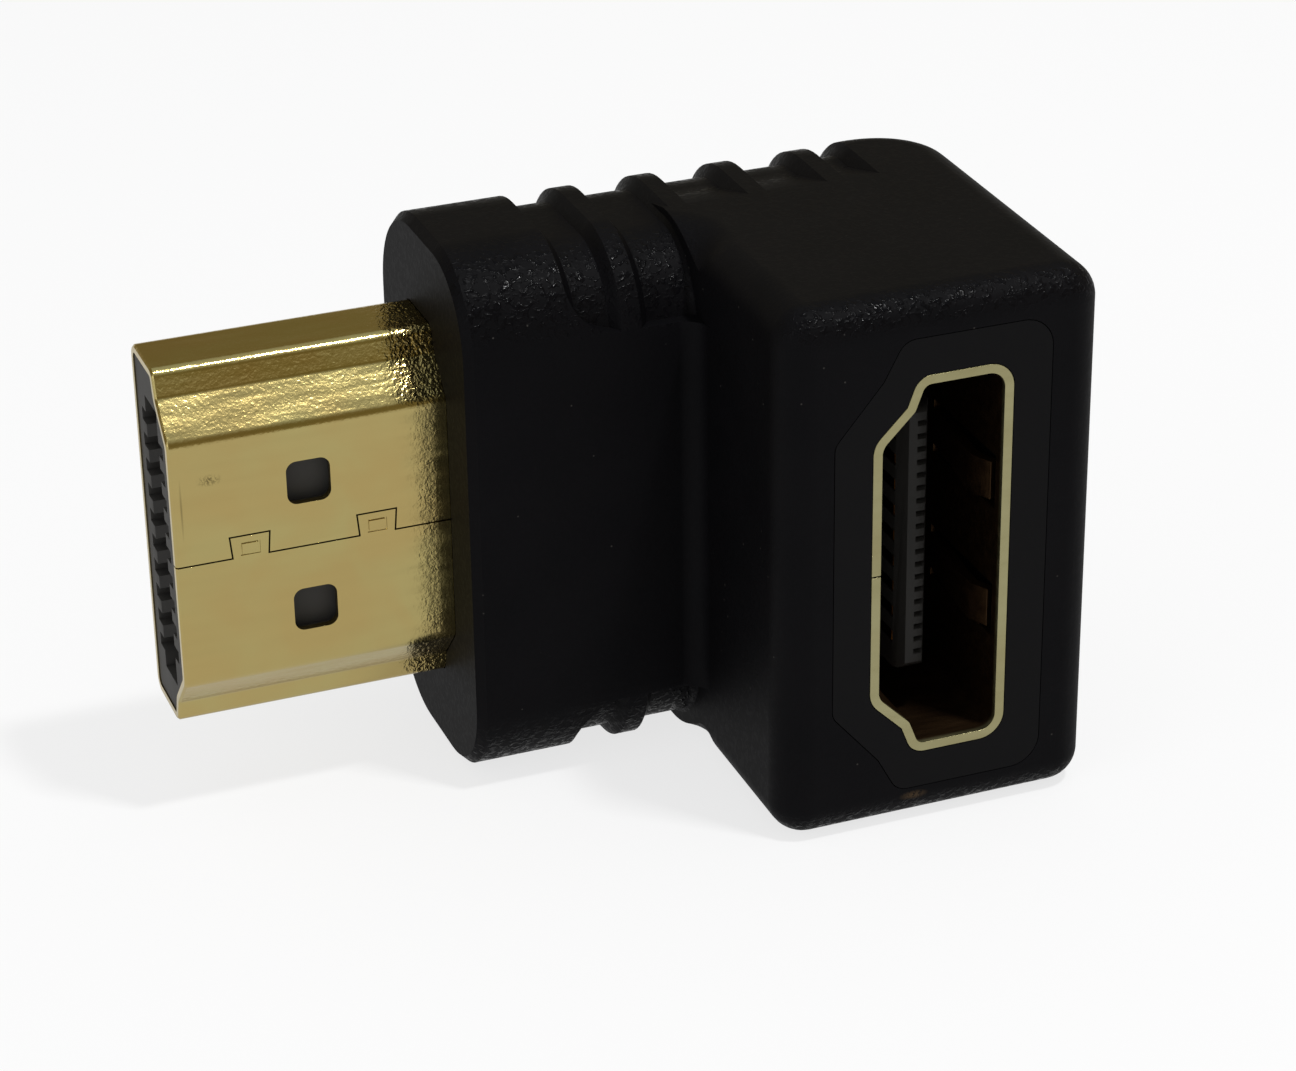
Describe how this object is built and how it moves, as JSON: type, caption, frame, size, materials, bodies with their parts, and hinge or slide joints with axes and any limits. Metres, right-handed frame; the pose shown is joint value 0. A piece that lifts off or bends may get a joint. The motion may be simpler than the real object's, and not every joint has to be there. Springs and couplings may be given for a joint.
{
  "type": "right angle video adapter",
  "caption": "L-shaped video adapter: a gold plug at one end, a socket at a right angle to it, and a black moulded body with a ribbed grip.",
  "frame": {"origin": "centre of the bottom of the bounding box, on the surface that the adapter lies on", "axes": "the plug points along -X, the socket opens along -Y, and +Z is the width of both connectors"},
  "size_m": [0.0308, 0.0174, 0.0204],
  "materials": {
    "black_vinyl": "fine spark-eroded grain",
    "inner_plastic": "smooth satin",
    "gold_shell": "thin gold plating, satin",
    "gold_contact": "gold plating",
    "insulator": "matt moulded",
    "board": "solder mask"
  },
  "bodies": {
    "root": {"circuit_board": "board", "inner_mould": "inner_plastic", "overmould": "black_vinyl", "plug_contact_01": "gold_contact", "plug_contact_02": "gold_contact", "plug_contact_03": "gold_contact", "plug_contact_04": "gold_contact", "plug_contact_05": "gold_contact", "plug_contact_06": "gold_contact", "plug_contact_07": "gold_contact", "plug_contact_08": "gold_contact", "plug_contact_09": "gold_contact", "plug_contact_10": "gold_contact", "plug_contact_11": "gold_contact", "plug_contact_12": "gold_contact", "plug_contact_13": "gold_contact", "plug_contact_14": "gold_contact", "plug_contact_15": "gold_contact", "plug_contact_16": "gold_contact", "plug_contact_17": "gold_contact", "plug_contact_18": "gold_contact", "plug_contact_19": "gold_contact", "plug_insulator": "insulator", "plug_shell": "gold_shell", "socket_contact_01": "gold_contact", "socket_contact_02": "gold_contact", "socket_contact_03": "gold_contact", "socket_contact_04": "gold_contact", "socket_contact_05": "gold_contact", "socket_contact_06": "gold_contact", "socket_contact_07": "gold_contact", "socket_contact_08": "gold_contact", "socket_contact_09": "gold_contact", "socket_contact_10": "gold_contact", "socket_contact_11": "gold_contact", "socket_contact_12": "gold_contact", "socket_contact_13": "gold_contact", "socket_contact_14": "gold_contact", "socket_contact_15": "gold_contact", "socket_contact_16": "gold_contact", "socket_contact_17": "gold_contact", "socket_contact_18": "gold_contact", "socket_contact_19": "gold_contact", "socket_insulator": "insulator", "socket_shell": "gold_shell"}
  },
  "joints": []
}
